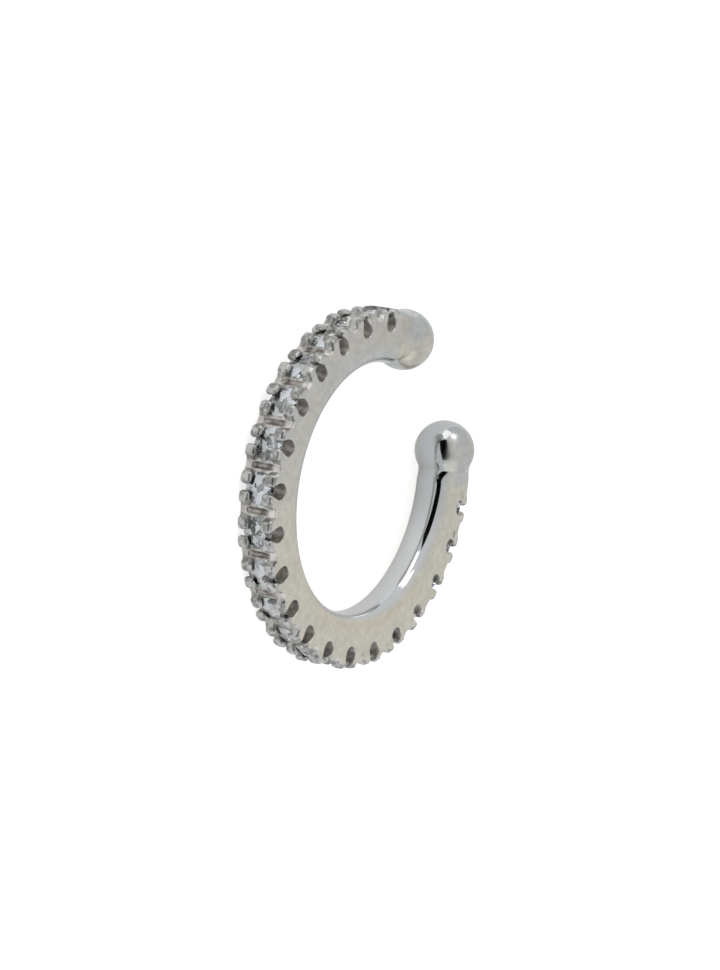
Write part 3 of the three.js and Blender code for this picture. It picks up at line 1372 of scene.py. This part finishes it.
@dataclass
class Studio:
    """Floor, lights, cards and camera.

    Attributes:
        azimuth: The camera's direction from the cuff, in degrees from +X.
        elevation: Its height above the floor, in degrees.
        roll: Its turn about its own axis, in degrees.
        distance: Its distance in millimetres.
        lens: Its focal length in millimetres on a 36 mm sensor.
        aim: The point that it looks at, in millimetres.
        light_distance: Distance of the soft lights in millimetres.
        floor_size: Side of the floor in metres.
        room_colour: Colour of the room's even light.
        room_light: Its strength.
    """

    azimuth: float = 131.571
    elevation: float = 31.524
    roll: float = 98.65
    distance: float = 104.993
    lens: float = 109.02
    aim: Triple = (-0.1464, 0.2787, 1.145)
    light_distance: float = 300.0
    floor_size: float = 3.0
    room_colour: Triple = (0.93, 0.96, 1.0)
    room_light: float = 0.68

    @property
    def view(self) -> Vector:
        """Direction from the cuff to the camera."""
        return self.direction(self.azimuth, self.elevation)

    @staticmethod
    def direction(azimuth: float, elevation: float) -> Vector:
        """A direction from its azimuth and elevation in degrees."""
        turn, rise = math.radians(azimuth), math.radians(elevation)
        return Vector((math.cos(rise) * math.cos(turn), math.cos(rise) * math.sin(turn),
                       math.sin(rise)))

    def camera_turn(self) -> Matrix:
        """The camera's rotation."""
        upright = self.view.to_track_quat("Z", "Y").to_matrix()
        return upright @ Matrix.Rotation(math.radians(self.roll), 3, "Z")

    def set_camera(self) -> None:
        """Adds the camera at the photograph's angle."""
        lens = bpy.data.cameras.new("camera")
        lens.lens = self.lens
        lens.sensor_width = 36.0
        lens.clip_start = 0.001
        lens.clip_end = 10.0
        camera = bpy.data.objects.new("camera", lens)
        place = (Vector(self.aim) + self.view * self.distance) * MM
        camera.matrix_world = Matrix.Translation(place) @ self.camera_turn().to_4x4()
        bpy.context.scene.collection.objects.link(camera)
        bpy.context.scene.camera = camera

    def set_floor(self) -> None:
        """Adds the plain white floor."""
        Bench.clear()
        bpy.ops.mesh.primitive_plane_add(size=self.floor_size)
        floor = bpy.context.object
        floor.name = floor.data.name = "floor"
        floor.data.materials.append(FloorFinish().material())

    def card(self, name: str, finish: CardFinish, size: tuple[float, float], place: Vector,
             turn: Matrix) -> None:
        """Adds a card that the cuff reflects.

        Args:
            name: Its name.
            finish: Its light.
            size: Its width and height in millimetres.
            place: Its middle in millimetres.
            turn: Its rotation.
        """
        Bench.clear()
        bpy.ops.mesh.primitive_plane_add(size=1.0)
        card = bpy.context.object
        card.name = card.data.name = name
        card.data.materials.append(finish.material())
        card.matrix_world = (
            Matrix.Translation(place * MM) @ turn.to_4x4()
            @ Matrix.Diagonal((size[0] * MM, size[1] * MM, 1, 1))
        )
        card.visible_camera = card.visible_shadow = card.visible_diffuse = False

    def softbox(self, name: str, azimuth: float, elevation: float, size: float,
                power: float) -> None:
        """Adds a square soft white light that faces the cuff.

        Args:
            name: Its name.
            azimuth: Its direction from the cuff, in degrees from +X.
            elevation: Its height, in degrees.
            size: Its side in millimetres.
            power: Its power in watts.
        """
        light = bpy.data.lights.new(name, "AREA")
        light.shape = "SQUARE"
        light.size = size * MM
        light.energy = power
        lamp = bpy.data.objects.new(name, light)
        towards = self.direction(azimuth, elevation)
        turn = towards.to_track_quat("Z", "Y").to_matrix().to_4x4()
        lamp.matrix_world = Matrix.Translation(towards * self.light_distance * MM) @ turn
        bpy.context.scene.collection.objects.link(lamp)

    def set_world(self) -> None:
        """Fills the room with an even pale light."""
        world = bpy.data.worlds.new("studio")
        world.use_nodes = True
        back = world.node_tree.nodes["Background"]
        back.inputs["Color"].default_value = (*self.room_colour, 1)
        back.inputs["Strength"].default_value = self.room_light
        bpy.context.scene.world = world
        bpy.context.scene.view_settings.view_transform = "Standard"

    def build(self) -> None:
        """Sets up the whole studio."""
        self.set_camera()
        self.set_floor()
        self.set_world()
        self.softbox("window", azimuth=52.0, elevation=33.0, size=70.0, power=0.05)
        self.softbox("strip", azimuth=66.0, elevation=4.0, size=200.0, power=0.1)
        self.softbox("side", azimuth=215.0, elevation=35.0, size=220.0, power=0.035)
        self.set_dark_card()
        self.set_tone_card()
        self.set_pale_card()

    def set_dark_card(self, size: tuple[float, float] = (66.0, 185.0), behind: float = 3.0,
                      roll: float = 9.0, shade: float = 0.003) -> None:
        """Adds the dark card just behind the camera, which the lower ball and arm reflect.

        Args:
            size: Its width and height in millimetres.
            behind: Its distance behind the camera in millimetres.
            roll: Its turn against the camera's, in degrees.
            shade: Brightness of its grey.
        """
        finish = CardFinish("black_card", (shade,) * 3, (shade,) * 3, 1.0)
        place = Vector(self.aim) + self.view * (self.distance + behind)
        turn = self.camera_turn() @ Matrix.Rotation(math.radians(roll), 3, "Z")
        self.card("dark_card", finish, size, place, turn)

    def set_tone_card(self, size: tuple[float, float] = (110.0, 80.0),
                      distance: float = 90.0) -> None:
        """Adds the grey card opposite the camera, which the flat sides reflect.

        Args:
            size: Its width and height in millimetres.
            distance: Its distance from the cuff in millimetres.
        """
        mirrored = self.direction(self.azimuth + 180.0, self.elevation)
        finish = CardFinish("grey_card", (0.68, 0.69, 0.71), (0.68, 0.66, 0.62), 1.0)
        turn = mirrored.to_track_quat("Z", "Y").to_matrix()
        self.card("tone_card", finish, size, mirrored * distance, turn)

    def set_pale_card(self, size: tuple[float, float] = (72.0, 50.0), azimuth: float = 63.0,
                      place: Triple = (44.5, 0, 0.1)) -> None:
        """Adds the pale card on the floor beside the opening.

        Args:
            size: Its length and width in millimetres.
            azimuth: Its direction from the cuff, in degrees from +X.
            place: Its middle in millimetres before that turn.
        """
        finish = CardFinish("pale_card", (1.0, 1.0, 1.0), (1.0, 1.0, 1.0), 0.82)
        turn = Matrix.Rotation(math.radians(azimuth), 3, "Z")
        self.card("pale_card", finish, size, turn @ Vector(place), turn)


def hand_over(piece: Piece, material: bpy.types.Material, node: str) -> None:
    """Lays a piece down in its resting place in metres, dresses it and puts it in a node's place.

    Args:
        piece: The finished piece.
        material: Its material.
        node: The node that it stands for.
    """
    Bench.place(piece, Matrix.Scale(MM, 4) @ SIZES.resting_place)
    piece.data.materials.clear()
    piece.data.materials.append(material)
    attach(piece, "root")
    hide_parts(node)
    piece.data.calc_loop_triangles()
    log.info("%s: %d triangles", piece.name, len(piece.data.loop_triangles))


def main() -> None:
    """Builds the studio, the band and the stones in order."""
    logging.basicConfig(level=logging.INFO, format="%(name)s %(message)s")
    Studio().build()
    band = SilverBand().build()
    hand_over(band, SilverFinish().material(SIZES), "cuff_band")
    crystal = StoneFinish().material(SIZES)
    for stone in StoneRow().build():
        hand_over(stone, crystal, "stone_row")


if __name__ == "__main__":
    main()
